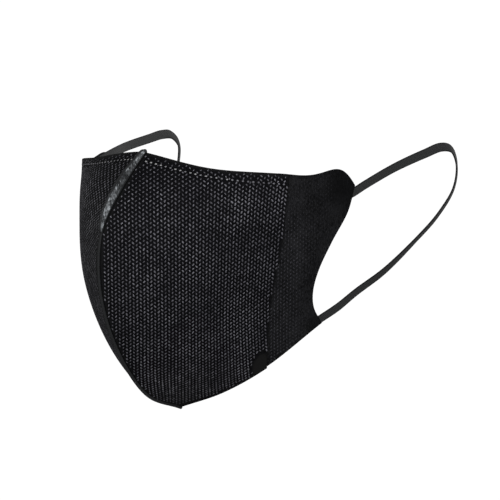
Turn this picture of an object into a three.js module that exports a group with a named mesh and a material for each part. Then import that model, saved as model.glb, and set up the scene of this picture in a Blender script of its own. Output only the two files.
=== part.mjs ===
// A vertical-fold duckbill face mask with flat elastic ear loops, in millimetres.
//
// The frame is the wearer's: +Z is up, -Y is where the wearer looks and +X is the wearer's left. The origin
// is where the mask sits on the bridge of the nose: the top of the centre seam, in the mirror plane.
//
// Two front panels are welded edge to edge along a curved centre seam, whose trimmed edge stands up as a
// flange over the nose. A softer ear wing is lapped under the back edge of each panel, and a flat elastic
// loop is welded to the inner face of each wing's upper and lower tab.
import * as THREE from "three";

// ---- Driving dimensions ----
const PANEL_THICK = 1.2; // the pressed layers of a front panel
const WING_THICK = 1.0; // the single stretch layer of an ear wing
const GAP = 0.3; // what welded pieces keep between them
const SEAM_THICK = 1.4; // both panel edges, pressed together
const SEAM_ROOT = 1.6; // how far the seam reaches in behind the panels' outer faces
const SEAM_EDGE = 1.2; // the trimmed edge that the seam leaves standing from the lips down
const SEAM_LOW = 0.3; // and just below the nose, where it is trimmed closest
const SEAM_CAP = [1.6, 0.9]; // how far its rounded ends stand past the top and the bottom edge
const FLANGE_WIDE = 6.6; // the flange that the seam leaves over the nose, where it is widest
const FLANGE_TOP = 0.6; // its width at the top edge, as a share of that
const FLANGE_CORNER = 0.12; // how much of it the rounded corner at the top edge takes up
const CORNER_LEFT = 0.4; // what that corner leaves of its width at the very end
const FLANGE_END = 0.34; // where it runs out, as a share of the seam
const LAP = 0.14; // how much of the cheek-to-wing stretch the wing reaches in under the panel
const EDGE_LIFT = 2.1; // how much straighter the right panel's top edge is cut, over the cheek
const LIFT_LEAN = 0.7; // below 1, the most of that lift lies nearer to the nose than to the wing seam
const LIFT_DEPTH = 0.2; // how far down the panel it is felt, as a share of its height
const TAB_RISE = 7.2; // the rounded top of the upper tab over the straight run of the edge
const TAB_LEAN = 2.6; // above 1, the tab's top lies nearer to the ear edge than to the wing seam
const TAB_DEPTH = 0.25; // how far down the wing that rise is felt, as a share of its height
const BAND_WIDE = 5; // the ear loop's flat elastic
const BAND_THICK = 0.9;

// Grid steps of the faceted solids.
const DOWN_STEPS = 24;
const PANEL_STEPS = 16;
const WING_STEPS = 9;
const BAND_STEPS = 72;

const SEAM_SIDE = SEAM_THICK / 2 + GAP; // where a panel's edge stops beside the seam

// The left half's outer face, a row for each section from the top edge down to the bottom edge. In each, the
// cloth leaves the centre seam, rounds the cheek, meets the wing seam and ends at the ear edge. The seam lies
// beside the mirror plane, so it has only y and z, and the others have x, y and z.
const SECTIONS = [
  { seam: [0, 0], cheek: [36, 10, -7.3], wing: [68.5, 38.5, -11.5], ear: [81.7, 83.2, -20.5] }, // top edge
  { seam: [-21.7, -17.3], cheek: [36, -4, -22], wing: [67, 37.5, -28], ear: [79.7, 79.7, -34.5] }, // bridge
  { seam: [-41, -39.8], cheek: [36, -9.5, -43], wing: [64.5, 38, -46], ear: [75.7, 70.2, -50.5] }, // nose tip
  { seam: [-43, -68], cheek: [34, -9.5, -68], wing: [60, 38.5, -65], ear: [71.2, 64.2, -65.5] }, // lips
  { seam: [-29, -101], cheek: [28, -4, -94], wing: [54, 41.5, -84], ear: [67.2, 64.2, -77.7] }, // jaw
  { seam: [1, -131.3], cheek: [24, 12, -117], wing: [49.5, 45.5, -102], ear: [65.2, 67.7, -87] }, // chin
  { seam: [34, -141.5], cheek: [24, 40, -133], wing: [45, 51, -119.4], ear: [65.2, 75.2, -96.2] }, // bottom edge
];

// Each ear loop, from the upper tab round the ear to the lower tab. weld is where the band is fixed to the
// upper tab, from its end to the tab's edge, as places on the cloth (across in columns, down as a share).
// run is the free elastic: out is the distance from the mirror plane, and turn is how far the flat band has
// turned about its own length, in degrees from facing sideways. The two loops hang a little differently.
const LOOPS = {
  left: {
    weld: [{ across: 2.8, down: 0.13 }, { across: 3, down: 0.055 }],
    run: [
      { out: 79.8, y: 94.5, z: -20.8, turn: 0 },
      { out: 84, y: 115.6, z: -13.3, turn: 0 },
      { out: 88.5, y: 137.4, z: -7.4, turn: -8 },
      { out: 90.8, y: 150, z: -4.8, turn: -20 },
      { out: 91.8, y: 158, z: -6.8, turn: -27 },
      { out: 92, y: 162.4, z: -15.5, turn: -31 },
      { out: 91, y: 161, z: -28, turn: -27 },
      { out: 88, y: 150.2, z: -42, turn: -27 },
      { out: 83.5, y: 136, z: -54.5, turn: -29 },
      { out: 77, y: 115.5, z: -70, turn: -16 },
      { out: 71, y: 97.5, z: -80.3, turn: -10 },
      { out: 67, y: 86, z: -87.7, turn: -4 },
    ],
  },
  right: {
    weld: [{ across: 2.5, down: 0.024 }, { across: 2.72, down: 0.018 }],
    run: [
      { out: 77.6, y: 82.5, z: -11.8, turn: 10 },
      { out: 83.5, y: 102, z: -10.8, turn: 4 },
      { out: 89, y: 131, z: -9.4, turn: 2 },
      { out: 91, y: 146.5, z: -8.6, turn: 13 },
      { out: 91.7, y: 156.2, z: -9.8, turn: 25 },
      { out: 91.8, y: 163, z: -15.5, turn: 27 },
      { out: 90.5, y: 160.5, z: -26, turn: 25 },
      { out: 88, y: 150.5, z: -41, turn: 25 },
      { out: 83.5, y: 136, z: -54.5, turn: 20 },
      { out: 77, y: 115.5, z: -70.3, turn: 14 },
      { out: 71, y: 97.5, z: -80.3, turn: 4 },
      { out: 67, y: 86, z: -87.7, turn: 0 },
    ],
  },
};
// Where both loops are fixed to the lower tab.
const LOWER_WELD = [{ across: 3, down: 0.975 }, { across: 2.8, down: 0.968 }];

// ---- The cloth ----
const COLUMNS = ["seam", "cheek", "wing", "ear"];
const [, , WING, EAR] = COLUMNS.keys(); // a place across the cloth is counted in columns from the seam
const placed = SECTIONS.map((row) => ({ ...row, seam: [SEAM_SIDE, ...row.seam] }));
const rails = Object.fromEntries(
  COLUMNS.map((column) => [
    column,
    new THREE.CatmullRomCurve3(placed.map((row) => new THREE.Vector3(...row[column]))),
  ]),
);

// How much a half's straighter cut lifts its panel under the top edge.
function edgeRise(across, down, lift) {
  const alongPanel = Math.min(across / WING, 1);
  const fade = Math.max(0, 1 - down / LIFT_DEPTH);
  return lift * Math.sin(Math.PI * alongPanel ** LIFT_LEAN) * fade ** 2;
}

// How much the upper tab lifts the cloth, across (0 seam to 3 ear edge) and down (0 top to 1 bottom edge).
function tabRise(across, down) {
  const alongWing = THREE.MathUtils.clamp(across - WING, 0, EAR - WING);
  const fade = Math.max(0, 1 - down / TAB_DEPTH);
  return TAB_RISE * Math.sin(Math.PI * alongWing ** TAB_LEAN) * fade ** 2;
}

// A point of the outer face of a half with that lift, on the left side of the mirror plane.
function clothPoint(across, down, lift) {
  const section = new THREE.CatmullRomCurve3(COLUMNS.map((column) => rails[column].getPoint(down)));
  const point = section.getPoint(across / EAR);
  point.z += tabRise(across, down) + edgeRise(across, down, lift);
  return point;
}

// The direction out of the cloth's outer face there.
function clothNormal(across, down, lift) {
  const step = 0.01;
  const [left, right] = [Math.max(across - step, 0), Math.min(across + step, EAR)];
  const [above, below] = [Math.max(down - step, 0), Math.min(down + step, 1)];
  const outward = clothPoint(right, down, lift).sub(clothPoint(left, down, lift));
  const downward = clothPoint(across, below, lift).sub(clothPoint(across, above, lift));
  return downward.cross(outward).normalize();
}

// A point that depth under the outer face, kept clear of the centre seam.
function layerPoint(across, down, depth, lift) {
  const normal = clothNormal(across, down, lift);
  const point = clothPoint(across, down, lift).addScaledVector(normal, -depth);
  point.x = Math.max(point.x, SEAM_SIDE);
  return point;
}

// ---- Solids ----
// A closed sheet between two faces, each given as a function of column and row. The front face looks along
// (down the rows) x (along the columns).
function sheetGeometry(columns, rows, frontPoint, backPoint) {
  const positions = [];
  const index = [];
  const across = columns + 1;
  const faceSize = across * (rows + 1);
  for (const facePoint of [frontPoint, backPoint]) {
    for (let row = 0; row <= rows; row++) {
      for (let column = 0; column <= columns; column++) {
        positions.push(...facePoint(column / columns, row / rows).toArray());
      }
    }
  }
  const front = (column, row) => row * across + column;
  const back = (column, row) => faceSize + front(column, row);
  const quad = (a, b, c, d) => index.push(a, b, c, a, c, d);
  for (let row = 0; row < rows; row++) {
    for (let column = 0; column < columns; column++) {
      const [c, r] = [column + 1, row + 1];
      quad(front(column, row), front(column, r), front(c, r), front(c, row));
      quad(back(column, row), back(c, row), back(c, r), back(column, r));
    }
  }
  for (let column = 0; column < columns; column++) {
    const c = column + 1;
    quad(front(column, 0), front(c, 0), back(c, 0), back(column, 0));
    quad(front(c, rows), front(column, rows), back(column, rows), back(c, rows));
  }
  for (let row = 0; row < rows; row++) {
    const r = row + 1;
    quad(front(0, r), front(0, row), back(0, row), back(0, r));
    quad(front(columns, row), front(columns, r), back(columns, r), back(columns, row));
  }
  return new THREE.BufferGeometry()
    .setAttribute("position", new THREE.Float32BufferAttribute(positions, 3))
    .setIndex(index);
}

// The same solid on the other side of the mirror plane, with its faces turned to point out again.
function mirrored(geometry) {
  const copy = geometry.clone().scale(-1, 1, 1);
  const corners = copy.index.array;
  for (let i = 0; i < corners.length; i += 3) {
    [corners[i + 1], corners[i + 2]] = [corners[i + 2], corners[i + 1]];
  }
  return copy;
}

function panelGeometry(lift) {
  return sheetGeometry(
    PANEL_STEPS,
    DOWN_STEPS,
    (u, v) => layerPoint(u * WING, v, 0, lift),
    (u, v) => layerPoint(u * WING, v, PANEL_THICK, lift),
  );
}

function wingGeometry(lift) {
  const outer = PANEL_THICK + GAP;
  const start = WING - LAP;
  const across = (u) => THREE.MathUtils.lerp(start, EAR, u);
  return sheetGeometry(
    WING_STEPS,
    DOWN_STEPS,
    (u, v) => layerPoint(across(u), v, outer, lift),
    (u, v) => layerPoint(across(u), v, outer + WING_THICK, lift),
  );
}

// How far the seam stands out in front of the panels at that share of its length.
function seamHeight(down) {
  const { lerp, smoothstep } = THREE.MathUtils;
  const edge = lerp(SEAM_LOW, SEAM_EDGE, smoothstep(down, FLANGE_END, 0.6));
  if (down >= FLANGE_END) return edge;
  const share = down / FLANGE_END;
  const wide = FLANGE_WIDE * lerp(FLANGE_TOP, 1, smoothstep(share, 0, 0.6));
  const toCorner = Math.max(0, 1 - share / FLANGE_CORNER);
  const corner = lerp(CORNER_LEFT, 1, Math.sqrt(1 - toCorner ** 2));
  return Math.max(wide * corner * Math.sqrt(1 - share ** 5), edge);
}

// The seam's outline lies in the mirror plane: out along its trimmed edge, round its lower end, back along
// its root and round its upper end.
function seamGeometry() {
  const steps = 3 * DOWN_STEPS;
  const capSteps = 8;
  const at = (down) => {
    const base = rails.seam.getPoint(down);
    const along = rails.seam.getTangent(down).setX(0).normalize();
    return { base, along, out: new THREE.Vector3(0, along.z, -along.y) };
  };
  const edgePoint = (down, height) => {
    const { base, out } = at(down);
    return base.addScaledVector(out, height);
  };
  // A half ellipse over the end of the strip, from the edge at that height round to the root, or back.
  const cap = (down, reach, turn) => {
    const { base, along, out } = at(down);
    const height = seamHeight(down);
    const middle = base.clone().addScaledVector(out, (height - SEAM_ROOT) / 2);
    return Array.from({ length: capSteps - 1 }, (_, i) => {
      const angle = (Math.PI * (i + 1)) / capSteps;
      return middle
        .clone()
        .addScaledVector(out, (turn * Math.cos(angle) * (height + SEAM_ROOT)) / 2)
        .addScaledVector(along, turn * reach * Math.sin(angle));
    });
  };
  const downs = Array.from({ length: steps + 1 }, (_, i) => i / steps);
  const outline = [
    ...downs.map((down) => edgePoint(down, seamHeight(down))),
    ...cap(1, SEAM_CAP[1], 1),
    ...downs.toReversed().map((down) => edgePoint(down, -SEAM_ROOT)),
    ...cap(0, SEAM_CAP[0], -1),
  ];
  const shape = new THREE.Shape(outline.map(({ y, z }) => new THREE.Vector2(y, z)));
  const geometry = new THREE.ExtrudeGeometry(shape, { depth: SEAM_THICK, bevelEnabled: false });
  // The shape's own axes are the frame's Y and Z, and it was extruded along X.
  const axes = new THREE.Matrix4().set(0, 0, 1, -SEAM_THICK / 2, 1, 0, 0, 0, 0, 1, 0, 0, 0, 0, 0, 1);
  geometry.applyMatrix4(axes);
  return geometry;
}

// A flat band welded to the wing's inner face at both ends, with its free run between them turned about its
// own length as the run says.
function bandGeometry({ weld, run }, lift) {
  const depth = PANEL_THICK + GAP + WING_THICK + GAP + BAND_THICK / 2;
  const onTab = ({ across, down }) => layerPoint(across, down, depth, lift);
  const faceOnTab = ({ across, down }) => clothNormal(across, down, lift);
  const free = run.map(({ out, y, z }) => new THREE.Vector3(out, y, z));
  const path = new THREE.CatmullRomCurve3([...weld.map(onTab), ...free, ...LOWER_WELD.map(onTab)]);
  const last = path.points.length - 1;
  const freeFaces = run.map(({ turn }, i) => {
    const along = path.getTangent((weld.length + i) / last);
    const sideways = new THREE.Vector3(1, 0, 0).projectOnPlane(along).normalize();
    return sideways.applyAxisAngle(along, THREE.MathUtils.degToRad(turn));
  });
  const faces = [...weld.map(faceOnTab), ...freeFaces, ...LOWER_WELD.map(faceOnTab)];
  const side = (sign) => (u, v) => {
    const place = v * last;
    const row = Math.min(Math.floor(place), last - 1);
    const along = path.getTangent(v);
    const between = faces[row].clone().lerp(faces[row + 1], place - row);
    const facing = between.projectOnPlane(along).normalize();
    const widthwise = along.clone().cross(facing);
    return path
      .getPoint(v)
      .addScaledVector(facing, (sign * BAND_THICK) / 2)
      .addScaledVector(widthwise, (u - 0.5) * BAND_WIDE);
  };
  return sheetGeometry(1, BAND_STEPS, side(-1), side(1));
}

// ---- The mask ----
function piece(name, geometry, material) {
  const mesh = new THREE.Mesh(geometry, material);
  mesh.name = name;
  return mesh;
}

const dotted = new THREE.MeshStandardMaterial({ color: "#1c1c20", roughness: 0.7, metalness: 0 });
const stretch = new THREE.MeshStandardMaterial({ color: "#141416", roughness: 0.85, metalness: 0 });
const pressed = new THREE.MeshStandardMaterial({ color: "#3c4044", roughness: 0.4, metalness: 0 });
const elastic = new THREE.MeshStandardMaterial({ color: "#2c2c2e", roughness: 0.8, metalness: 0 });

const mask = new THREE.Group();
mask.add(piece("centre_seam", seamGeometry(), pressed));
const halves = [
  { side: "left", hand: (geometry) => geometry, lift: 0 },
  { side: "right", hand: mirrored, lift: EDGE_LIFT },
];
for (const { side, hand, lift } of halves) {
  mask.add(piece(`panel_${side}`, hand(panelGeometry(lift)), dotted));
  mask.add(piece(`wing_${side}`, hand(wingGeometry(lift)), stretch));
  mask.add(piece(`ear_loop_${side}`, hand(bandGeometry(LOOPS[side], lift)), elastic));
}

export default mask;
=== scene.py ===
"""A vertical-fold duckbill face mask with flat elastic ear loops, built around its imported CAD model.

The frame is the wearer's: +Z is up, -Y is where the wearer looks and +X is the wearer's left. Lengths are in
metres, and the tables of places are in millimetres.
"""
import math

import bpy
import numpy as np
from bpy.props import FloatProperty, FloatVectorProperty, PointerProperty
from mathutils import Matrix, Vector


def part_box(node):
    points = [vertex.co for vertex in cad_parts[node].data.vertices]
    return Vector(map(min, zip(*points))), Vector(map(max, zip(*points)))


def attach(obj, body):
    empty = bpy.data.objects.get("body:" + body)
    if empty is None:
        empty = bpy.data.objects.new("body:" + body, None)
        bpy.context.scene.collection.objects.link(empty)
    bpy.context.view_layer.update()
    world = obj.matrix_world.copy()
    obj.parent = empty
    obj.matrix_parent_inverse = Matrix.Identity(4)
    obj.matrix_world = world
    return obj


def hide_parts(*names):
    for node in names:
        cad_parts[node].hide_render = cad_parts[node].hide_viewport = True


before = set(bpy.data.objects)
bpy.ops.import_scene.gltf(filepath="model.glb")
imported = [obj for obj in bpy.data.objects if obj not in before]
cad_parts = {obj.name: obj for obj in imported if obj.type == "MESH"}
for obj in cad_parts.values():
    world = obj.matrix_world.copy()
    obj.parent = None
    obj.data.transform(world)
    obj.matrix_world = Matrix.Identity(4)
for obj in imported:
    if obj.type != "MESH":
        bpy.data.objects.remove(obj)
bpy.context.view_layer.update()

bl_info = {
    "name": "Duckbill Face Mask",
    "version": (1, 0, 0),
    "blender": (4, 5, 0),
    "location": "View3D > Sidebar > Face Mask",
    "description": "Builds a vertical-fold duckbill face mask, piece by piece",
    "category": "Object",
}

MM = 0.001

# ---- The cloth's shape ----
PANEL_THICK = 1.2 * MM
WING_THICK = 1.0 * MM
GAP = 0.3 * MM
SEAM_SIDE = 1.0 * MM  # where a panel's outline starts beside the seam
SEAM_TUCK = 0.6 * MM  # how far its edge then runs on into the seam, where it is melted in
TUCK_WIDTH = 0.03
LAP = 0.14  # how much of the cheek-to-wing stretch the wing reaches in under the panel
TAB_RISE = 7.2 * MM
TAB_LEAN = 2.6
TAB_DEPTH = 0.25
LIFT_LEAN = 0.7  # below 1, the most of a straighter top edge's lift lies nearer to the nose than to the wing
LIFT_DEPTH = 0.2
WING, EAR = 2, 3  # a place across the cloth is counted in columns: 0 seam, 1 cheek, 2 wing line, 3 ear edge
CHEEK_PLANE = ((0.819, 0.574), 22.4 * MM)  # the upright plane that columns of bond points are counted from
# Height in millimetres, and there the height of a row of bond points as a share of the row pitch. The rows close up
# where the cloth turns in under the chin.
ROW_HEIGHTS = [(14, 0.93), (0, 0.93), (-40, 1.03), (-60, 0.97), (-85, 0.91), (-110, 0.82), (-118, 0.72), (-130, 0.52), (-156, 0.45)]
FIT = 1.5 * MM  # how far a piece may stand from the box of the CAD node that it replaces

# The left half's outer face, from the top edge down to the bottom edge: where each section leaves the seam,
# rounds the cheek, meets the wing line and ends at the ear edge.
SECTIONS = MM * np.array([
    # seam               cheek             wing line              ear edge
    [[1, 0, 0],          [36, 10, -7.3],   [68.5, 38.5, -11.5],   [81.7, 83.2, -20.5]],
    [[1, -21.7, -17.3],  [36, -4, -22],    [67, 37.5, -28],       [79.7, 79.7, -34.5]],
    [[1, -41, -39.8],    [36, -9.5, -43],  [64.5, 38, -46],       [75.7, 70.2, -50.5]],
    [[1, -43, -68],      [34, -9.5, -68],  [60, 38.5, -65],       [71.2, 64.2, -65.5]],
    [[1, -29, -101],     [28, -4, -94],    [54, 41.5, -84],       [67.2, 64.2, -77.7]],
    [[1, 1, -131.3],     [24, 12, -117],   [49.5, 45.5, -102],    [65.2, 67.7, -87]],
    [[1, 34, -141.5],    [24, 40, -133],   [45, 51, -119.4],      [65.2, 75.2, -96.2]],
])

# Where each ear loop is fixed to the upper tab (across in columns, down as a share), and its free run: the
# distance from the mirror plane, y and z in millimetres, and the band's turn about its length in degrees.
LOOPS = {
    "left": (
        [(2.8, 0.13), (3, 0.055)],
        [
            (79.8, 94.5, -20.8, 0), (84, 115.6, -13.3, 0), (88.5, 137.4, -7.4, -8), (90.8, 150, -4.8, -20),
            (91.8, 158, -6.8, -27), (92, 162.4, -15.5, -31), (91, 161, -28, -27), (88, 150.2, -42, -27),
            (83.5, 136, -54.5, -29), (77, 115.5, -70, -16), (71, 97.5, -80.3, -10), (67, 86, -87.7, -4),
        ],
    ),
    "right": (
        [(2.5, 0.024), (2.72, 0.018)],
        [
            (77.6, 82.5, -11.8, 10), (83.5, 102, -10.8, 4), (89, 131, -9.4, 2), (91, 146.5, -8.6, 13),
            (91.7, 156.2, -9.8, 25), (91.8, 163, -15.5, 27), (90.5, 160.5, -26, 25), (88, 150.5, -41, 25),
            (83.5, 136, -54.5, 20), (77, 115.5, -70.3, 14), (71, 97.5, -80.3, 4), (67, 86, -87.7, 0),
        ],
    ),
}
LOWER_WELD = [(3, 0.975), (2.8, 0.968)]


def smoothstep(value, low, high):
    share = np.clip((value - low) / (high - low), 0, 1)
    return share * share * (3 - 2 * share)


def unit(vectors):
    return vectors / np.linalg.norm(vectors, axis=-1, keepdims=True)


def on_curve(knots, share, each=False):
    """Points at that share of a centripetal Catmull-Rom curve. Its knots are on the first axis; with each, every
    point has its own curve, on the second axis."""
    share = np.clip(np.asarray(share, float), 0, 1)
    spans = len(knots) - 1
    ends = np.concatenate([2 * knots[:1] - knots[1:2], knots, 2 * knots[-1:] - knots[-2:-1]])
    span = np.minimum((share * spans).astype(int), spans - 1)
    part = share * spans - span
    if each:
        column = np.arange(len(share))
        before, start, end, after = (ends[span + i, column] for i in range(4))
    else:
        before, start, end, after = (ends[span + i] for i in range(4))
    part = part.reshape(part.shape + (1,) * (start.ndim - part.ndim))

    def knot_gap(a, b):
        return np.sqrt(np.linalg.norm(b - a, axis=-1, keepdims=True))

    gap0, gap1, gap2 = knot_gap(before, start), knot_gap(start, end), knot_gap(end, after)
    slope1 = ((start - before) / gap0 - (end - before) / (gap0 + gap1)) * gap1 + end - start
    slope2 = (-(after - start) / (gap1 + gap2) + (after - end) / gap2) * gap1 + end - start
    square = 3 * (end - start) - 2 * slope1 - slope2
    cube = 2 * (start - end) + slope1 + slope2
    return start + part * (slope1 + part * (square + part * cube))


def tab_rise(across, down):
    """How much the upper tab lifts the cloth."""
    along_wing = np.clip(across - WING, 0, EAR - WING)
    fade = np.maximum(0, 1 - down / TAB_DEPTH)
    return TAB_RISE * np.sin(math.pi * along_wing ** TAB_LEAN) * fade ** 2


def edge_rise(across, down, lift):
    """How much a straighter cut lifts a panel's top edge."""
    along_panel = np.clip(across / WING, 0, 1)
    fade = np.maximum(0, 1 - down / LIFT_DEPTH)
    return lift * np.sin(math.pi * along_panel ** LIFT_LEAN) * fade ** 2


class Half:
    """One half of the cloth, in the left half's place. The right half is mirrored once its mesh is made."""

    def __init__(self, lift, weld_inset, seed):
        self.lift = lift
        self.weld_inset = weld_inset
        self.seed = seed

    def point(self, across, down):
        """Points of the outer face, across (0 seam to 3 ear edge) and down (0 top to 1 bottom)."""
        across, down = np.broadcast_arrays(np.asarray(across, float), np.asarray(down, float))
        shape = across.shape
        across, down = across.ravel(), down.ravel()
        rails = on_curve(SECTIONS, down).swapaxes(0, 1)
        points = on_curve(rails, across / EAR, each=True)
        points[:, 2] += tab_rise(across, down) + edge_rise(across, down, self.lift)
        return points.reshape(shape + (3,))

    def normal(self, across, down):
        """Directions out of the outer face."""
        step = 0.01
        across, down = np.broadcast_arrays(np.asarray(across, float), np.asarray(down, float))
        outward = self.point(np.minimum(across + step, EAR), down) - self.point(np.maximum(across - step, 0), down)
        downward = self.point(across, np.minimum(down + step, 1)) - self.point(across, np.maximum(down - step, 0))
        return unit(np.cross(downward, outward))

    def layer(self, across, down, depth):
        """Points that depth under the outer face, kept clear of the centre seam."""
        points = self.point(across, down) - self.normal(across, down) * np.asarray(depth)[..., None]
        tuck = SEAM_TUCK * smoothstep(np.asarray(across, float), TUCK_WIDTH, 0)
        points[..., 0] = np.maximum(points[..., 0], SEAM_SIDE) - tuck
        return points


HALVES = {
    # how much straighter the top edge is cut, the hem weld's distance from it at the seam and at the wing, seed
    "left": Half(0.0, (6.4 * MM, 5.6 * MM), 7),
    "right": Half(2.1 * MM, (6.4 * MM, 3.0 * MM), 19),
}


def run_length(points, axis):
    """Distance along each line of a grid of points, from its start."""
    steps = np.linalg.norm(np.diff(points, axis=axis), axis=-1)
    pad = [(0, 0)] * steps.ndim
    pad[axis] = (1, 0)
    return np.pad(np.cumsum(steps, axis=axis), pad)


# ---- Meshes ----
class Shell:
    """Points and faces gathered for one piece, with the marks on its points that its material reads."""

    # spot carries the painted glint of the hem weld's spots; crease carries painted shade on the cloth and the seam,
    # and the darker rolled edges of the elastic.
    MARKS = ("bond", "spot", "pressed", "crease", "along", "beside")

    def __init__(self):
        self.points = []
        self.faces = []
        self.marks = {mark: [] for mark in self.MARKS}
        self.count = 0

    def add(self, points, faces, **marks):
        points = np.reshape(points, (-1, 3))
        for face in faces:
            self.faces.append(np.asarray(face) + self.count)
        self.points.append(points)
        for mark, values in self.marks.items():
            values.append(np.broadcast_to(np.ravel(marks.get(mark, 0.0)), len(points)))
        self.count += len(points)

    def piece(self, name, material, mirror=False):
        points = np.concatenate(self.points)
        faces = [row for block in self.faces for row in block.tolist()]
        if mirror:
            points = points * (-1, 1, 1)
            faces = [face[::-1] for face in faces]
        mesh = bpy.data.meshes.new(name)
        mesh.from_pydata(points.tolist(), [], faces)
        mesh.polygons.foreach_set("use_smooth", [True] * len(faces))
        for mark, values in self.marks.items():
            together = np.concatenate(values)
            if together.any():
                layer = mesh.attributes.new(mark, "FLOAT", "POINT")
                layer.data.foreach_set("value", together.astype(np.float32))
        mesh.materials.append(material)
        if mesh.validate():
            raise RuntimeError(f"{name} has a bad face")
        made = bpy.data.objects.new(name, mesh)
        bpy.context.scene.collection.objects.link(made)
        return made


def grid_faces(rows, columns, turned=False):
    """Quads of a grid of points, which face along (down the rows) x (along the columns)."""
    at = np.arange(rows * columns).reshape(rows, columns)
    quads = np.stack([at[:-1, :-1], at[1:, :-1], at[1:, 1:], at[:-1, 1:]], axis=-1).reshape(-1, 4)
    return quads[:, ::-1] if turned else quads


def rim_faces(rows, columns):
    """Quads that join the border of a grid to the border of a second one, which comes after it."""
    at = np.arange(rows * columns).reshape(rows, columns)
    border = np.concatenate([at[0, :-1], at[:-1, -1], at[-1, :0:-1], at[:0:-1, 0]])
    after = np.roll(border, -1)
    size = rows * columns
    return np.stack([border, after, after + size, border + size], axis=-1)


def even_lines(count, size, rounding):
    """Shares from 0 to 1, with more of them beside both ends, where the edge is rounded."""
    beside = np.array([0.12, 0.35, 0.7, 1.05]) * rounding / size
    return np.unique(np.concatenate([np.linspace(0, 1, count + 1), beside, 1 - beside]))


def edge_distance(points):
    """Each grid point's distance from the nearest edge, and from the four edges on their own."""
    across, down = run_length(points, 1), run_length(points, 0)
    sides = {
        "inner": across,
        "outer": across[:, -1:] - across,
        "top": down,
        "bottom": down[-1:] - down,
    }
    return np.minimum.reduce(list(sides.values())), sides


def rounded_sheet(shell, half, across, down, outer, thick, rounding, marks):
    """A closed sheet under the outer face, whose edges are rounded."""
    grid_across, grid_down = np.meshgrid(across, down)
    face = half.point(grid_across, grid_down)
    near, sides = edge_distance(face)
    slope = np.clip(1 - near / rounding, 0, 1)
    sink = rounding * (1 - np.sqrt(1 - slope ** 2))
    front = half.layer(grid_across, grid_down, outer + sink)
    back = half.layer(grid_across, grid_down, outer + thick - sink)
    rows, columns = grid_across.shape
    made = marks(grid_across, grid_down, sides)
    plain = {mark: np.concatenate([np.ravel(value), np.ravel(value) * 0]) for mark, value in made.items()}
    shell.add(
        np.concatenate([front.reshape(-1, 3), back.reshape(-1, 3)]),
        [
            grid_faces(rows, columns),
            grid_faces(rows, columns, turned=True) + rows * columns,
            rim_faces(rows, columns),
        ],
        **plain,
    )


def add_dots(shell, half, across, down, outer, width, length, lean, rise, bond, spot=0.0):
    """Low oval bumps on the cloth's outer face, each a closed body that is bedded in the cloth."""
    count = len(across)
    if not count:
        return
    centre = half.layer(across, down, np.full(count, outer))
    normal = half.normal(across, down)
    level = unit(np.cross(np.broadcast_to([0.0, 0.0, 1.0], normal.shape), normal))
    upright = np.cross(normal, level)
    angle = np.linspace(0, 2 * math.pi, 8, endpoint=False)
    turn = np.broadcast_to(lean, count)[:, None]
    size = np.broadcast_to(np.stack(np.broadcast_arrays(width, length), axis=-1) / 2, (count, 2))
    x = np.cos(angle) * size[:, :1]
    y = np.sin(angle) * size[:, 1:]
    x, y = x * np.cos(turn) + y * np.sin(turn), y * np.cos(turn) - x * np.sin(turn)
    rise = np.broadcast_to(rise, count)[:, None, None]
    flat = x[..., None] * level[:, None] + y[..., None] * upright[:, None]
    rim = centre[:, None] + flat - normal[:, None] * rise * 0.9
    shoulder = centre[:, None] + flat * 0.72 + normal[:, None] * rise * 0.62
    top = centre[:, None] + normal[:, None] * rise
    points = np.concatenate([rim, shoulder, top], axis=1)
    ring = np.arange(8)
    after = np.roll(ring, -1)
    start = np.arange(count)[:, None, None] * points.shape[1]
    walls = np.stack([ring, after, after + 8, ring + 8], axis=-1)[None] + start
    crown = np.stack([ring + 8, after + 8, np.full(8, 16)], axis=-1)[None] + start
    base = ring[None, None, ::-1] + start
    # The spot mark carries the painted glint of the hem weld's spots.
    shell.add(
        points,
        [walls.reshape(-1, 4), crown.reshape(-1, 3), base.reshape(-1, 8)],
        bond=np.repeat(np.broadcast_to(bond, count), points.shape[1]),
        spot=np.repeat(np.broadcast_to(spot, count), points.shape[1]),
    )


def row_levels(pitch):
    """Numbers and heights of the half rows of bond points."""
    heights, shares = np.array(ROW_HEIGHTS).T
    level = np.linspace(heights[0], heights[-1], 801) * MM
    row_height = pitch * np.interp(-level, -heights * MM, shares)
    number = np.cumsum(np.abs(np.gradient(level)) / row_height)
    number -= np.interp(0, -level, number)
    half_rows = np.arange(math.ceil(number[0] * 2), math.floor(number[-1] * 2))
    return half_rows, np.interp(half_rows / 2, number, level)


def dot_lattice(half, inner, outer, pitch_across, pitch_down):
    """Places (across, down) of bond points in level rows, where every other column is half a row lower, with the
    column's number and the distances in from the inner, outer, top and bottom edges."""
    half_rows, levels = row_levels(pitch_down)
    down_table = np.linspace(0, 1, 401)
    across_table = np.linspace(inner, outer, 241)
    heights = half.point(across_table[:, None], down_table[None])[..., 2]
    rows = np.stack([np.interp(-levels, -line, down_table) for line in heights], axis=1)
    places = half.point(across_table[None], rows)
    run = run_length(places, 1)
    (plane_x, plane_y), plane_at = CHEEK_PLANE
    beyond_plane = places[..., 0] * plane_x + places[..., 1] * plane_y - plane_at
    found = []
    for index, half_row in enumerate(half_rows):
        line = run[index] - np.interp(0, beyond_plane[index], run[index])
        if line[0] > 0 or inner:
            line = line + beyond_plane[index, 0]
        first = math.ceil(line[0] / pitch_across)
        column = np.arange(first, math.floor(line[-1] / pitch_across) + 1)
        column = column[column % 2 == half_row % 2]
        across = np.interp(column * pitch_across, line, across_table)
        down = np.interp(column * pitch_across, line, rows[index])
        top = np.interp(across, across_table, heights[:, 0]) - levels[index]
        bottom = levels[index] - np.interp(across, across_table, heights[:, -1])
        side = column * pitch_across
        found.append(np.stack([across, down, column, side - line[0], line[-1] - side, top, bottom]))
    return np.concatenate(found, axis=1)


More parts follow.
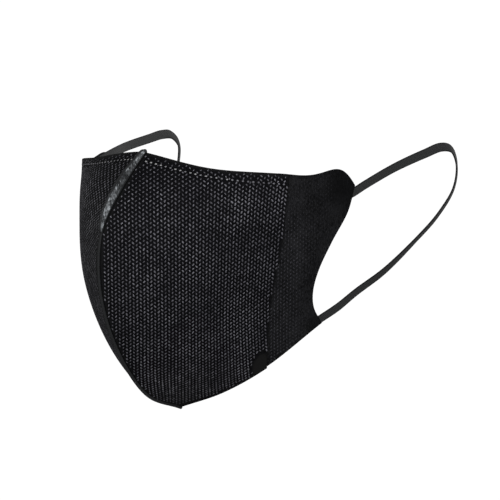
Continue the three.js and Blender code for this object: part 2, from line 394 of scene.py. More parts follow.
def weld_row(half, pitch, inner, outer):
    """Places of the spots of the weld that runs under the top edge."""
    down_table = np.linspace(0, 0.15, 61)
    across_table = np.linspace(inner, outer, 201)
    depth = run_length(half.point(across_table[:, None], down_table[None]), 1)
    inset = np.interp(across_table, (inner, outer), half.weld_inset)
    down = np.array([np.interp(at, line, down_table) for at, line in zip(inset, depth)])
    run = run_length(half.point(across_table, down), 0)
    spots = np.arange(pitch / 2, run[-1], pitch)
    return np.interp(spots, run, across_table), np.interp(spots, run, down)


def patches(draw, shape, steps):
    """Smooth random values from 0 to 1 on a grid, with about one patch in every step of its rows and columns."""
    rows, columns = (np.arange(size) / step for size, step in zip(shape, steps))
    coarse = draw.uniform(0, 1, (int(rows[-1]) + 2, int(columns[-1]) + 2))
    part = rows - rows.astype(int)
    part = (part * part * (3 - 2 * part))[:, None]
    lines = coarse[rows.astype(int)] * (1 - part) + coarse[rows.astype(int) + 1] * part
    part = columns - columns.astype(int)
    part = (part * part * (3 - 2 * part))[None]
    return lines[:, columns.astype(int)] * (1 - part) + lines[:, columns.astype(int) + 1] * part


# ---- Shader graphs ----
class Signal:
    """A socket in a shader graph. Arithmetic on it adds the Math nodes."""

    def __init__(self, graph, socket):
        self.graph = graph
        self.socket = socket

    def math(self, operation, first, second=0.0):
        return self.graph.node("ShaderNodeMath", {"operation": operation}, {0: first, 1: second})

    def __add__(self, other):
        return self.math("ADD", self, other)

    def __radd__(self, other):
        return self.math("ADD", other, self)

    def __sub__(self, other):
        return self.math("SUBTRACT", self, other)

    def __rsub__(self, other):
        return self.math("SUBTRACT", other, self)

    def __mul__(self, other):
        return self.math("MULTIPLY", self, other)

    def __rmul__(self, other):
        return self.math("MULTIPLY", other, self)

    def sine(self):
        return self.math("SINE", self)


class Graph:
    """The node tree of a material or of the world."""

    def __init__(self, tree):
        self.tree = tree
        tree.nodes.clear()

    def node(self, kind, settings=None, sockets=None, out=0):
        """Adds a node: its settings first, then the values or links of its sockets. Gives one of its outputs."""
        made = self.tree.nodes.new(kind)
        for name, value in (settings or {}).items():
            if name == "stops":
                ramp = made.color_ramp
                while len(ramp.elements) < len(value):
                    ramp.elements.new(0.5)
                for element, (position, colour) in zip(ramp.elements, value):
                    element.position = position
                    element.color = colour
            else:
                setattr(made, name, value)
        for name, value in (sockets or {}).items():
            if isinstance(value, Signal):
                self.tree.links.new(value.socket, made.inputs[name])
            else:
                made.inputs[name].default_value = value
        return Signal(self, made.outputs[out]) if made.outputs else None

    def mark(self, name):
        return self.node("ShaderNodeAttribute", {"attribute_name": name}, out="Fac")

    def place(self, scale=(1, 1, 1)):
        spot = self.node("ShaderNodeTexCoord", out="Object")
        return self.node("ShaderNodeMapping", None, {"Vector": spot, "Scale": scale})

    def noise(self, where, scale, detail=2.0, roughness=0.5, distortion=0.0):
        sockets = {
            "Vector": where, "Scale": scale, "Detail": detail, "Roughness": roughness, "Distortion": distortion,
        }
        return self.node("ShaderNodeTexNoise", None, sockets, out="Fac")

    def step(self, value, low, high):
        """0 below low and 1 above high, with a soft change between them."""
        return self.node("ShaderNodeMapRange", {"interpolation_type": "SMOOTHSTEP"}, {0: value, 1: low, 2: high})

    def mix(self, share, first, second):
        """One colour going over into another."""
        return self.node("ShaderNodeMix", {"data_type": "RGBA"}, {0: share, 6: first, 7: second}, out=2)

    def bump(self, height, distance, strength=1.0):
        return self.node("ShaderNodeBump", None, {"Height": height, "Distance": distance, "Strength": strength})

    def surface(self, shader):
        self.node("ShaderNodeOutputMaterial", None, {"Surface": shader})


def opaque(colour):
    return (*colour, 1.0)


def new_graph(name):
    material = bpy.data.materials.new(name)
    material.use_nodes = True
    return material, Graph(material.node_tree)


def dotted_nonwoven(cloth):
    """Spunbond fibres, matt between the bond points and smooth where the fibres are melted into film."""
    material, graph = new_graph("dotted_nonwoven")
    bond, spot, pressed, crease = (graph.mark(mark) for mark in ("bond", "spot", "pressed", "crease"))
    where = graph.place()
    blotch = graph.noise(where, 55.0, 3.0)
    fibre = graph.noise(graph.place((1.0, 1.0, 0.45)), 2100.0, 4.0, 0.65, 0.8)
    tuft = graph.noise(where, 700.0, 2.0, 0.6)
    light = graph.step(fibre * 0.7 + tuft * 0.3, 0.35, 0.72)
    colour = graph.mix(light, opaque(cloth.gap_colour), opaque(cloth.fibre_colour))
    film = graph.mix(graph.step(blotch, 0.3, 0.7), opaque(cloth.bond_dull), opaque(cloth.bond_bright))
    colour = graph.mix(bond, colour, film)
    # Painted glints on the hem weld's spots.
    colour = graph.mix(spot, colour, opaque(cloth.spot_glint_colour))
    colour = graph.mix(pressed, colour, opaque(cloth.pressed_colour))
    # Painted shade beside the seam and along the back edge over the wing, and a darker line along the cut edges.
    colour = graph.mix(crease, colour, opaque(cloth.crease_shade_colour))
    rough = 0.8 - bond * 0.34 - pressed * 0.22 + (fibre - 0.5) * 0.3
    height = (fibre * 0.7 + tuft * 0.5) * (1 - bond * 0.75) * (1 - pressed * 0.7)
    graph.surface(graph.node("ShaderNodeBsdfPrincipled", None, {
        "Base Color": colour, "Roughness": rough, "Specular IOR Level": 0.03, "Sheen Weight": 0.004,
        "Sheen Roughness": 0.4, "Coat Weight": bond * 0.2, "Coat Roughness": 0.35,
        "Normal": graph.bump(height, 0.12 * MM, 0.7),
    }))
    return material


def stretch_nonwoven(cloth):
    """A softer, duller nonwoven with fine lengthwise fibres."""
    material, graph = new_graph("stretch_nonwoven")
    bond, pressed, crease = (graph.mark(mark) for mark in ("bond", "pressed", "crease"))
    where = graph.place()
    fibre = graph.noise(graph.place((1.0, 1.0, 0.35)), 1700.0, 4.0, 0.65, 0.6)
    blotch = graph.noise(where, 90.0, 3.0)
    light = graph.step(fibre * 0.75 + blotch * 0.25, 0.34, 0.7)
    colour = graph.mix(light, opaque(cloth.wing_dark), opaque(cloth.wing_light))
    colour = graph.mix(bond, colour, opaque(cloth.bond_dull))
    colour = graph.mix(pressed, colour, opaque(cloth.wing_pressed))
    # Painted shade along the wing line and on the upper tab, and a darker line along the cut edges.
    colour = graph.mix(crease, colour, opaque(cloth.crease_shade_colour))
    rough = 0.86 - bond * 0.25 - pressed * 0.2 + (fibre - 0.5) * 0.25
    height = fibre * (1 - bond * 0.6) * (1 - pressed * 0.6)
    graph.surface(graph.node("ShaderNodeBsdfPrincipled", None, {
        "Base Color": colour, "Roughness": rough, "Specular IOR Level": 0.06, "Sheen Weight": 0.006,
        "Sheen Roughness": 0.5, "Normal": graph.bump(height, 0.14 * MM, 0.6),
    }))
    return material


def pressed_weld(trim):
    """Both cloths melted together between hatched jaws: a hard, glossy strip with paler ridges."""
    material, graph = new_graph("pressed_weld")
    film, edge = graph.mark("bond"), graph.mark("crease")
    where = graph.place()
    fibre = graph.noise(where, 2400.0, 3.0, 0.6)
    blotch = graph.noise(where, 160.0, 3.0, 0.6)
    light = graph.step(film * 1.0 + (blotch - 0.5) * 0.35 + (fibre - 0.5) * 0.2, 0.05, 0.95)
    # The pale film colour carries the painted glints and the painted shine along the flange, beside the film's own
    # speckle.
    colour = graph.mix(light, opaque(trim.film_dark), opaque(trim.film_and_shine))
    # Painted shade at the seam's root, where it stands out from the panels.
    colour = graph.mix(edge, colour, opaque(trim.film_dark))
    rough = 0.8 - film * 0.45 + (fibre - 0.5) * 0.2
    graph.surface(graph.node("ShaderNodeBsdfPrincipled", None, {
        "Base Color": colour, "Roughness": rough, "Specular IOR Level": 0.35,
        "Normal": graph.bump(fibre * 0.6 + blotch * 0.8, 0.1 * MM, 0.6),
    }))
    return material


def knitted_elastic(trim):
    """Fine knitted elastic: wales along the band, crossed by short courses."""
    material, graph = new_graph("elastic")
    along, beside, edge = (graph.mark(mark) for mark in ("along", "beside", "crease"))
    where = graph.place()
    fluff = graph.noise(where, 1500.0, 3.0, 0.6)
    course = (along * (math.tau / (trim.course_pitch)) + beside * (math.pi / trim.wale_pitch)).sine()
    wale = (beside * (math.tau / trim.wale_pitch)).sine()
    stitch = course * wale * 0.5 + 0.5
    light = graph.step(stitch * 0.6 + fluff * 0.6, 0.3, 0.9)
    colour = graph.mix(light, opaque(trim.elastic_dark), opaque(trim.elastic_light))
    colour = graph.mix(edge, colour, opaque(trim.elastic_edge))
    rough = 0.78 + (fluff - 0.5) * 0.2
    graph.surface(graph.node("ShaderNodeBsdfPrincipled", None, {
        "Base Color": colour, "Roughness": rough, "Specular IOR Level": 0.2, "Sheen Weight": 0.06,
        "Sheen Roughness": 0.35, "Normal": graph.bump(stitch * 0.8 + fluff * 0.4, 0.12 * MM, 0.7),
    }))
    return material


def pale_floor(studio):
    material, graph = new_graph("pale_floor")
    grain = graph.noise(graph.place(), 3.0, 2.0)
    colour = graph.mix(grain, opaque(studio.floor_colour), (1.0, 1.0, 1.0, 1.0))
    graph.surface(graph.node("ShaderNodeBsdfPrincipled", None, {
        "Base Color": colour, "Roughness": 0.9, "Specular IOR Level": 0.1,
        "Emission Color": (1.0, 1.0, 1.0, 1.0), "Emission Strength": studio.floor_glow,
    }))
    return material


# ---- Settings ----
def length(default, name, description, low=0.0):
    return FloatProperty(name=name, description=description, default=default, min=low, unit="LENGTH", precision=4)


def colour(default, name, description):
    return FloatVectorProperty(
        name=name, description=description, default=default, size=3, min=0.0, max=1.0, subtype="COLOR",
    )


class MaskClothSettings(bpy.types.PropertyGroup):
    column_pitch: length(1.95 * MM, "Column pitch", "Distance between columns of bond points")
    row_pitch: length(2.28 * MM, "Row pitch", "Distance between bond points in a column")
    dot_width: length(0.98 * MM, "Dot width", "Width of a bond point")
    dot_length: length(1.9 * MM, "Dot length", "Length of a bond point")
    dot_rise: length(0.11 * MM, "Dot rise", "Height of a bond point over the cloth")
    dot_lean: FloatProperty(
        name="Dot lean", description="How far a bond point leans from upright, to one side and the other by turns",
        default=math.radians(32), subtype="ANGLE",
    )
    weld_pitch: length(2.9 * MM, "Weld pitch", "Distance between the spots of the hem's weld")
    gap_colour: colour((0.0010, 0.0010, 0.0013), "Gaps", "Cloth in the shade between fibres")
    fibre_colour: colour((0.0078, 0.0077, 0.0092), "Fibres", "Loose fibres of the panels")
    bond_dull: colour((0.080, 0.079, 0.092), "Dull bond points", "Film of the duller bond points")
    bond_bright: colour((0.150, 0.149, 0.168), "Bright bond points", "Film of the brighter bond points")
    # Painted glint on the hem weld's spots.
    spot_glint_colour: colour((0.34, 0.34, 0.34), "Weld spots", "Film of the hem weld's spots")
    pressed_colour: colour((0.010, 0.010, 0.010), "Pressed cloth", "Cloth pressed smooth beside the welds")
    # Painted shade for the creases beside the seam, the wing line and the upper tab, also used for the darker line
    # along the cut edges.
    crease_shade_colour: colour((0.0015, 0.0015, 0.0018), "Creases", "Cloth in a crease or a cut edge")
    wing_dark: colour((0.0014, 0.0014, 0.0017), "Wing, dark", "Ear wings in the shade between fibres")
    wing_light: colour((0.0190, 0.0190, 0.0210), "Wing, light", "Fibres of the ear wings")
    wing_pressed: colour((0.0045, 0.0045, 0.0048), "Pressed wing", "Ear wings where they are welded")


class MaskTrimSettings(bpy.types.PropertyGroup):
    seam_thick: length(1.4 * MM, "Seam thickness", "Both panel edges, pressed together")
    flange_wide: length(6.6 * MM, "Flange width", "The seam's flange over the nose, where it is widest")
    hatch_pitch: length(2.1 * MM, "Hatch pitch", "Distance between the ridges pressed into the seam")
    hatch_depth: length(0.16 * MM, "Hatch depth", "Height of those ridges")
    # Pale melted film, which also carries the flange's painted glints and painted shine.
    film_and_shine: colour((0.37, 0.395, 0.415), "Film, light", "Ridges of the pressed seam")
    film_dark: colour((0.008, 0.0085, 0.0095), "Film, dark", "Hollows and cut edge of the pressed seam")
    band_wide: length(5.0 * MM, "Band width", "Width of the flat ear elastic")
    band_thick: length(0.9 * MM, "Band thickness", "Thickness of the ear elastic")
    wale_pitch: length(0.72 * MM, "Wale pitch", "Distance between the ribs along the elastic")
    course_pitch: length(0.85 * MM, "Course pitch", "Distance between the stitches along a rib")
    elastic_light: colour((0.044, 0.0455, 0.0462), "Elastic, light", "Yarn on top of the elastic")
    elastic_dark: colour((0.010, 0.010, 0.0105), "Elastic, dark", "Gaps between the elastic's stitches")
    elastic_edge: colour((0.004, 0.004, 0.0045), "Elastic, edge", "The elastic's rolled edges")


class MaskStudioSettings(bpy.types.PropertyGroup):
    azimuth: FloatProperty(
        name="Azimuth", description="Camera's place round the mask, from straight in front to the wearer's left",
        default=math.radians(35), subtype="ANGLE",
    )
    elevation: FloatProperty(
        name="Elevation", description="Camera's height over the horizon", default=math.radians(6), subtype="ANGLE",
    )
    view_width: length(0.27027, "View width", "Width of what the camera sees")
    aim_right: length(0.0568, "Aim right", "What the camera looks at, to the right of the seam's top")
    aim_down: length(0.0530, "Aim down", "What the camera looks at, below the seam's top")
    floor_drop: length(1.5, "Floor drop", "How far the floor lies below the mask, which is held at face height")
    floor_size: length(2.4, "Floor size", "Width of the floor")
    floor_colour: colour((0.86, 0.86, 0.86), "Floor", "Darker patches of the plain floor")
    floor_glow: FloatProperty(name="Floor glow", description="Light from the lit floor", default=0.3, min=0.0)
    sky: FloatProperty(name="Sky", description="Light of the white room", default=0.12, min=0.0)
    key_power: FloatProperty(
        name="Key light", description="Power of the soft light at the wearer's left", default=6.0, subtype="POWER",
    )
    fill_power: FloatProperty(
        name="Fill light", description="Power of the wide light over the nose", default=4.0, subtype="POWER",
    )
    rim_power: FloatProperty(
        name="Rim light", description="Power of the soft light at the wearer's right", default=1.35, subtype="POWER",
    )
    back_power: FloatProperty(
        name="Back light", description="Power of the soft light on the inside", default=2.5, subtype="POWER",
    )


SETTINGS = {
    "mask_cloth": MaskClothSettings,
    "mask_trim": MaskTrimSettings,
    "mask_studio": MaskStudioSettings,
}


# ---- Pieces ----
PATCH_PLACE = (4.6 * MM, 5.2 * MM)  # the smooth patch's middle, from a panel's back and bottom edges
PATCH_SIZE = (5.2 * MM, 6.4 * MM)


def patch_share(from_back, from_bottom):
    """Distance from the middle of the smooth patch, which ends at 1."""
    (back, bottom), (wide, high) = PATCH_PLACE, PATCH_SIZE
    return np.hypot((from_back - back) / wide, (from_bottom - bottom) / high)


def seat(piece, node):
    """Stands the piece for its CAD node, after a check that it fills the same box."""
    low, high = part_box(node)
    points = np.array([vertex.co for vertex in piece.data.vertices])
    off = max(np.abs(points.min(0) - low).max(), np.abs(points.max(0) - high).max())
    if off > FIT:
        raise RuntimeError(f"{piece.name} is {off / MM:.2f} mm off the box of {node}")
    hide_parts(node)
    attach(piece, "root")


def panel_marks(across, down, sides):
    """Where a panel is pressed smooth, and where painted shade lies beside the seam and along its back edge over the
    wing; its top and bottom edges are drawn darker too.
    """
    hem = smoothstep(sides["top"], 2.4 * MM, 1.2 * MM)
    back = smoothstep(sides["outer"], 0.7 * MM, 0.3 * MM)
    front = smoothstep(sides["inner"], 1.8 * MM, 0.8 * MM)
    low = smoothstep(sides["bottom"], 2.2 * MM, 1.0 * MM)
    corner = smoothstep(patch_share(sides["outer"], sides["bottom"]), 1.1, 0.75)
    pressed = np.maximum.reduce([hem * 0.5, back * 0.7, front * 0.5, low * 0.5, corner])
    cut = np.minimum.reduce([sides["top"], sides["outer"], sides["bottom"]])
    # Painted shade beside the seam and at the back edge, where the panel laps over the wing; the same mark draws a
    # darker line along the top and bottom edges.
    crease = np.maximum(smoothstep(cut, 0.5 * MM, 0.1 * MM), smoothstep(sides["inner"], 1.1 * MM, 0.3 * MM))
    return {"pressed": pressed, "crease": crease}


def wing_marks(across, down, sides):
    """Where a wing is pressed smooth, and where painted shade lies along the wing line and on the upper tab; its cut
    edges are drawn darker too.
    """
    # Painted shade on the wing just past the panel's edge along the wing line.
    fold = smoothstep(across, WING + 0.034, WING + 0.012)
    cut = np.minimum.reduce([sides["top"], sides["outer"], sides["bottom"]])
    crease = np.maximum(fold, smoothstep(cut, 0.7 * MM, 0.15 * MM))
    upper = smoothstep(np.hypot((across - 2.78) / 0.26, (down - 0.09) / 0.06), 1.15, 0.7)
    # Painted shade on the upper tab, which turns away from the light.
    tab = smoothstep(across, 2.3, 2.9) * smoothstep(down, 0.3, 0.05)
    lower = smoothstep(np.hypot((across - 2.9) / 0.16, (down - 0.95) / 0.06), 1.05, 0.85)
    return {"pressed": np.maximum(upper * 0.3, lower * 0.6), "crease": np.maximum(crease, tab * 0.7)}


class MASK_OT_panels(bpy.types.Operator):
    """Builds the two dotted front panels"""

    bl_idname = "mask.build_panels"
    bl_label = "Front panels"

    def execute(self, context):
        cloth = context.scene.mask_cloth
        material = dotted_nonwoven(cloth)
        for side, half in HALVES.items():
            shell = Shell()
            across = even_lines(80, 100 * MM, 0.5 * MM) * WING
            down = even_lines(110, 150 * MM, 0.5 * MM)
            rounded_sheet(shell, half, across, down, 0.0, PANEL_THICK, 0.5 * MM, panel_marks)
            self.add_bonds(shell, half, cloth)
            piece = shell.piece(f"front_panel_{side}", material, mirror=side == "right")
            seat(piece, f"panel_{side}")
        return {"FINISHED"}

    @staticmethod
    def add_bonds(shell, half, cloth):
        """The field of bond points, and the row of weld spots along the hem."""
        draw = np.random.default_rng(half.seed)
        weld_across, weld_down = weld_row(half, cloth.weld_pitch, 0.04, WING - 0.02)
        spots = half.point(weld_across, weld_down)
        places = dot_lattice(half, 0.0, float(WING), cloth.column_pitch, cloth.row_pitch)
        dot_across, dot_down, column, inner, outer, top, bottom = places
        apart = np.linalg.norm(half.point(dot_across, dot_down)[:, None] - spots[None], axis=-1).min(1)
        kept = (
            (inner > 0.9 * MM) & (outer > 0.55 * MM) & (top > 1.3 * MM) & (bottom > 1.2 * MM)
            & (patch_share(outer, bottom) > 0.95) & (apart > 1.3 * MM)
        )
        vary = draw.uniform(-1, 1, (3, len(column)))
        lean = np.where(column % 2 == 0, 1, -1) * cloth.dot_lean * (1 + 0.5 * vary[0])
        size = (0.82 + 0.18 * smoothstep(np.minimum(inner, top), 1.5 * MM, 9 * MM)) * (1 + 0.16 * vary[1])
        add_dots(
            shell, half, dot_across[kept], dot_down[kept], 0.0, cloth.dot_width * size[kept],
            cloth.dot_length * size[kept], lean[kept], cloth.dot_rise, 0.7 + 0.3 * vary[2, kept],
        )
        # Painted glints on the hem weld's spots, brightest beside the seam and fading out toward the wing; they go
        # to the spot mark.
        glint = draw.uniform(0.1, 1.0, len(weld_across)) * smoothstep(weld_across, 1.9, 0.5)
        add_dots(
            shell, half, weld_across, weld_down, 0.0, 1.5 * MM, 1.2 * MM, 0.0, 0.16 * MM, 0.8, glint,
        )


class MASK_OT_wings(bpy.types.Operator):
    """Builds the two ear wings, with their tabs"""

    bl_idname = "mask.build_wings"
    bl_label = "Ear wings"

    def execute(self, context):
        cloth = context.scene.mask_cloth
        material = stretch_nonwoven(cloth)
        for side, half in HALVES.items():
            shell = Shell()
            outer = PANEL_THICK + GAP
            start = WING - LAP
            across = start + even_lines(40, 45 * MM, 0.45 * MM) * (EAR - start)
            down = even_lines(90, 105 * MM, 0.45 * MM)
            rounded_sheet(shell, half, across, down, outer, WING_THICK, 0.45 * MM, wing_marks)
            self.add_bonds(shell, half, cloth, outer)
            piece = shell.piece(f"ear_wing_{side}", material, mirror=side == "right")
            seat(piece, f"wing_{side}")
        return {"FINISHED"}

    @staticmethod
    def add_bonds(shell, half, cloth, outer):
        """Bond points that fade out away from the panel and toward the upper tab."""
        places = dot_lattice(half, float(WING), float(EAR), cloth.column_pitch, cloth.row_pitch)
        dot_across, dot_down, column, inner, edge, top, bottom = places
        reach = smoothstep(dot_across - WING, 1.0, 0.25) * (0.25 + 0.75 * smoothstep(top, 8 * MM, 50 * MM))
        kept = (inner > 1.3 * MM) & (edge > 2 * MM) & (top > 2 * MM) & (bottom > 1.5 * MM) & (reach > 0.1)
        vary = np.random.default_rng(half.seed + 1).uniform(-1, 1, (2, len(column)))
        lean = np.where(column % 2 == 0, 1, -1) * cloth.dot_lean * (1 + 0.4 * vary[0])
        size = 0.66 + 0.24 * reach
        add_dots(
            shell, half, dot_across[kept], dot_down[kept], outer, cloth.dot_width * size[kept],
            cloth.dot_length * size[kept], lean[kept], cloth.dot_rise * 0.6, (0.36 + 0.14 * vary[1, kept]) * reach[kept],
        )


SEAM_ROOT = 1.6 * MM
SEAM_EDGE = 1.2 * MM
SEAM_LOW = 0.3 * MM
SEAM_CAP = (1.6 * MM, 0.9 * MM)
FLANGE_TOP = 0.6
FLANGE_CORNER = 0.12
CORNER_LEFT = 0.4
FLANGE_END = 0.34
# How brightly the flange's film shines from its top end (0) to where it runs out (1).
FLANGE_SHINE = [(0, 0.8), (0.16, 0.85), (0.3, 0.5), (0.5, 0.45), (0.66, 0.95), (0.9, 1.0), (1, 0.7)]


def seam_height(down, flange_wide):
    """How far the seam stands out in front of the panels."""
    edge = SEAM_LOW + (SEAM_EDGE - SEAM_LOW) * smoothstep(down, FLANGE_END, 0.6)
    share = np.clip(down / FLANGE_END, 0, 1)
    wide = FLANGE_TOP + (1 - FLANGE_TOP) * smoothstep(share, 0, 0.6)
    to_corner = np.maximum(0, 1 - share / FLANGE_CORNER)
    corner = CORNER_LEFT + (1 - CORNER_LEFT) * np.sqrt(1 - to_corner ** 2)
    return np.maximum(flange_wide * wide * corner * np.sqrt(1 - share ** 5), edge)


class MASK_OT_centre_weld(bpy.types.Operator):
    """Builds the centre seam with its hatched flange"""

    bl_idname = "mask.build_centre_weld"
    bl_label = "Centre seam"

    def execute(self, context):
        trim = context.scene.mask_trim
        seam = SECTIONS[:, 0] * (0, 1, 1)
        steps = 560
        total = run_length(on_curve(seam, np.linspace(0, 1, 400)), 0)[-1]
        cap = np.sin(np.linspace(0, math.pi / 2, 10))
        over_top = (cap[:0:-1] - 0.0) * -SEAM_CAP[0]
        over_end = cap[1:] * SEAM_CAP[1]
        down = np.concatenate([np.zeros(9), np.linspace(0, 1, steps), np.ones(9)])
        past = np.concatenate([over_top, np.zeros(steps), over_end])
        ends = np.concatenate([np.sqrt(1 - cap[:0:-1] ** 2), np.ones(steps), np.sqrt(1 - cap[1:] ** 2)])
        delta = 1e-4
        along = unit(on_curve(seam, down + delta) - on_curve(seam, down - delta))
        out = np.stack([np.zeros(len(down)), along[:, 2], -along[:, 1]], axis=-1)
        height = seam_height(down, trim.flange_wide)
        middle = on_curve(seam, down) + along * past[:, None] + out * ((height - SEAM_ROOT) / 2)[:, None]
        half = (height + SEAM_ROOT) / 2 * np.maximum(ends, 0.02)
        slots = 25
        level = np.cos(np.linspace(0, math.pi, slots))
        level = np.sign(level) * np.abs(level) ** 0.85
        lift = level[None] * half[:, None]
        stand = lift + ((height - SEAM_ROOT) / 2)[:, None]
        run = (down * total + past)[:, None]
        fade = np.sqrt(np.clip(1 - np.abs(level) ** 6, 0, 1))[None] * np.maximum(ends, 0.25)[:, None]
        draw = np.random.default_rng(3)
        shape = (len(down), slots)
        warp = (patches(draw, shape, (14, 8)) - 0.5) * 2.4 * MM
        wave = math.tau / trim.hatch_pitch / math.sqrt(2)
        hatch = np.maximum(np.sin((run + stand + warp) * wave), np.sin((run - stand + warp * 0.7) * wave))
        hatch = smoothstep(hatch, 0.1, 1.0)
        speckle = smoothstep(patches(draw, shape, (3, 2)), 0.2, 0.9)
        # Painted glints on the flange's film.
        glint = smoothstep(patches(draw, shape, (4, 3)), 0.74, 0.95)
        on_flange = smoothstep(down, FLANGE_END + 0.03, FLANGE_END - 0.02)[:, None] * np.ones(slots)
        shine = np.interp(down / FLANGE_END, *np.array(FLANGE_SHINE).T)[:, None]
        clear = smoothstep(stand, 0.2 * MM, 0.9 * MM)
        trimmed = smoothstep(height[:, None] - stand, 0.3 * MM, 1.1 * MM)
        ridge = hatch * on_flange * clear
        # The film's speckle and paler ridges, made brighter or dimmer along the flange by the painted shine.
        film = (0.16 + 0.34 * speckle + 0.2 * ridge) * shine
        bond = on_flange * clear * np.clip(film + 0.8 * glint * (0.4 + 0.6 * shine) * trimmed, 0, 1) * (0.25 + 0.75 * trimmed)
        thick = trim.seam_thick / 2 * (0.3 + 0.7 * fade) - trim.hatch_depth * (1 - ridge) * fade * clear
        shell = Shell()
        points = middle[:, None] + out[:, None] * lift[..., None]
        # The crease mark is painted shade at the seam's root beside the panels.
        marks = {"bond": bond, "crease": smoothstep(stand, 0.9 * MM, 0.1 * MM)}
        sides = [points + thick[..., None] * (sign, 0, 0) for sign in (1, -1)]
        rows, columns = ridge.shape
        shell.add(
            np.concatenate([side.reshape(-1, 3) for side in sides]),
            [
                grid_faces(rows, columns),
                grid_faces(rows, columns, turned=True) + rows * columns,
                rim_faces(rows, columns),
            ],
            **{mark: np.tile(value.ravel(), 2) for mark, value in marks.items()},
        )
        piece = shell.piece("centre_weld", pressed_weld(trim))
        seat(piece, "centre_seam")
        return {"FINISHED"}


class MASK_OT_ear_loops(bpy.types.Operator):
    """Builds the two flat elastic ear loops"""

    bl_idname = "mask.build_ear_loops"
    bl_label = "Ear loops"

    def execute(self, context):
        trim = context.scene.mask_trim
        material = knitted_elastic(trim)
        for side, (weld, run) in LOOPS.items():
            shell = Shell()
            self.add_band(shell, HALVES[side], trim, weld, np.array(run, float))
            piece = shell.piece(f"ear_elastic_{side}", material, mirror=side == "right")
            seat(piece, f"ear_loop_{side}")
        return {"FINISHED"}

    @staticmethod
    def add_band(shell, half, trim, weld, run):
        depth = PANEL_THICK + GAP + WING_THICK + GAP + trim.band_thick / 2
        ends = [np.array(places, float).T for places in (weld, LOWER_WELD)]
        upper, lower = (half.layer(*places, np.full(2, depth)) for places in ends)
        knots = np.concatenate([upper, run[:, :3] * MM, lower])
        last = len(knots) - 1
        delta = 1e-4

        def tangent(share):
            return unit(on_curve(knots, share + delta) - on_curve(knots, share - delta))

        at_run = tangent((len(upper) + np.arange(len(run))) / last)
        sideways = unit(np.array([1.0, 0, 0]) - at_run * at_run[:, :1])
        turn = np.radians(run[:, 3])[:, None]
        turned = sideways * np.cos(turn) + np.cross(at_run, sideways) * np.sin(turn)
        faces = np.concatenate([half.normal(*ends[0]), turned, half.normal(*ends[1])])
        steps = 420
        share = np.linspace(0, 1, steps)
        place = share * last
        row = np.minimum(place.astype(int), last - 1)
        part = (place - row)[:, None]
        along = tangent(share)
        facing = faces[row] * (1 - part) + faces[row + 1] * part
        facing = unit(facing - along * np.sum(facing * along, axis=1, keepdims=True))
        widthwise = np.cross(along, facing)
        centre = on_curve(knots, share)
        length_along = run_length(centre, 0)
        beside = np.linspace(-0.5, 0.5, 29) * trim.band_wide
        roll = np.sqrt(np.clip(1 - np.abs(2 * beside / trim.band_wide) ** 7, 0, 1))
        rib = 0.5 + 0.5 * np.cos(beside * math.tau / trim.wale_pitch)
        half_thick = trim.band_thick / 2 * (0.28 + 0.72 * roll) - 0.05 * MM * rib * roll
        end_fade = smoothstep(np.minimum(length_along, length_along[-1] - length_along), 0.0, 9 * MM)
        pressed = (0.6 + 0.4 * end_fade)[:, None]
        edge = smoothstep(np.abs(beside), 1.75 * MM, 2.4 * MM)
        sides = [
            centre[:, None]
            + widthwise[:, None] * beside[:, None]
            + facing[:, None] * (sign * half_thick * pressed)[..., None]
            for sign in (-1, 1)
        ]
        rows, columns = steps, len(beside)
        marks = {
            "along": np.broadcast_to(length_along[:, None], (rows, columns)),
            "beside": np.broadcast_to(beside, (rows, columns)),
            "crease": np.broadcast_to(edge, (rows, columns)),
        }
        shell.add(
            np.concatenate([face.reshape(-1, 3) for face in sides]),
            [
                grid_faces(rows, columns),
                grid_faces(rows, columns, turned=True) + rows * columns,
                rim_faces(rows, columns),
            ],
            **{mark: np.tile(value.ravel(), 2) for mark, value in marks.items()},
        )


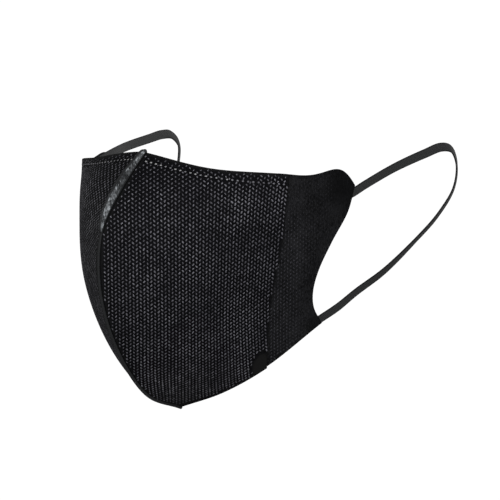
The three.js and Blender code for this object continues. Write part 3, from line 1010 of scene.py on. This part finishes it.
class MASK_OT_studio(bpy.types.Operator):
    """Sets up the camera, the pale floor and the soft lights"""

    bl_idname = "mask.build_studio"
    bl_label = "Camera, floor and lights"

    def execute(self, context):
        studio = context.scene.mask_studio
        scene = context.scene
        azimuth, elevation = studio.azimuth, studio.elevation
        right = Vector((math.cos(azimuth), math.sin(azimuth), 0))
        back = Vector((
            math.sin(azimuth) * math.cos(elevation), -math.cos(azimuth) * math.cos(elevation), math.sin(elevation),
        ))
        up = back.cross(right)
        aim = right * studio.aim_right - up * studio.aim_down
        camera = bpy.data.objects.new("camera", bpy.data.cameras.new("camera"))
        camera.data.type = "ORTHO"
        camera.data.ortho_scale = studio.view_width
        camera.data.clip_end = 200.0
        camera.location = aim + back * 1.0
        camera.rotation_mode = "QUATERNION"
        camera.rotation_quaternion = (-back).to_track_quat("-Z", "Y")
        scene.collection.objects.link(camera)
        scene.camera = camera

        half = studio.floor_size / 2
        floor_mesh = bpy.data.meshes.new("floor")
        corners = [(x * half, y * half, -studio.floor_drop) for x, y in ((-1, -1), (1, -1), (1, 1), (-1, 1))]
        floor_mesh.from_pydata(corners, [], [(0, 1, 2, 3)])
        floor_mesh.materials.append(pale_floor(studio))
        floor = bpy.data.objects.new("floor", floor_mesh)
        scene.collection.objects.link(floor)

        world = bpy.data.worlds.new("white_room")
        world.use_nodes = True
        graph = Graph(world.node_tree)
        white = (1.0, 1.0, 1.0, 1.0)
        seen = graph.node("ShaderNodeLightPath", out="Is Camera Ray")
        dim = graph.node("ShaderNodeBackground", None, {"Color": white, "Strength": studio.sky})
        lit = graph.node("ShaderNodeBackground", None, {"Color": white, "Strength": 1.05})
        room = graph.node("ShaderNodeMixShader", None, {0: seen, 1: dim, 2: lit})
        graph.node("ShaderNodeOutputWorld", None, {"Surface": room})
        scene.world = world
        scene.view_settings.view_transform = "Standard"

        middle = Vector((0, 0.02, -0.06))
        lights = (
            # name, direction from the mask, distance, size, power
            ("key_light", Vector((0.81, -0.47, 0.34)), 0.9, 0.5, studio.key_power),
            ("fill_light", Vector((0.14, -0.81, 0.57)), 0.9, 0.8, studio.fill_power),
            ("rim_light", Vector((-1.0, 0.1, 0.2)), 0.8, 0.45, studio.rim_power),
            ("back_light", Vector((0.1, 1.0, 0.2)), 0.9, 0.6, studio.back_power),
        )
        for name, direction, distance, size, power in lights:
            lamp = bpy.data.lights.new(name, "AREA")
            lamp.shape = "DISK"
            lamp.size = size
            lamp.energy = power
            light = bpy.data.objects.new(name, lamp)
            light.location = middle + direction.normalized() * distance
            light.rotation_mode = "QUATERNION"
            light.rotation_quaternion = (-direction).to_track_quat("-Z", "Y")
            scene.collection.objects.link(light)
        return {"FINISHED"}


class MASK_PT_parts(bpy.types.Panel):
    """Lists the mask's settings and the operators that build it"""

    bl_idname = "MASK_PT_parts"
    bl_label = "Face Mask"
    bl_space_type = "VIEW_3D"
    bl_region_type = "UI"
    bl_category = "Face Mask"

    def draw(self, context):
        for name, group in SETTINGS.items():
            box = self.layout.box()
            for field in group.__annotations__:
                box.prop(getattr(context.scene, name), field)
        for operator in OPERATORS:
            self.layout.operator(operator.bl_idname)


OPERATORS = (MASK_OT_studio, MASK_OT_centre_weld, MASK_OT_panels, MASK_OT_wings, MASK_OT_ear_loops)


def register():
    for group in SETTINGS.values():
        bpy.utils.register_class(group)
    for name, group in SETTINGS.items():
        setattr(bpy.types.Scene, name, PointerProperty(type=group))
    for made in (*OPERATORS, MASK_PT_parts):
        bpy.utils.register_class(made)


def unregister():
    for made in (MASK_PT_parts, *reversed(OPERATORS)):
        bpy.utils.unregister_class(made)
    for name, group in reversed(SETTINGS.items()):
        delattr(bpy.types.Scene, name)
        bpy.utils.unregister_class(group)


def main():
    register()
    bpy.ops.mask.build_studio()
    bpy.ops.mask.build_centre_weld()
    bpy.ops.mask.build_panels()
    bpy.ops.mask.build_wings()
    bpy.ops.mask.build_ear_loops()


if __name__ == "__main__":
    main()
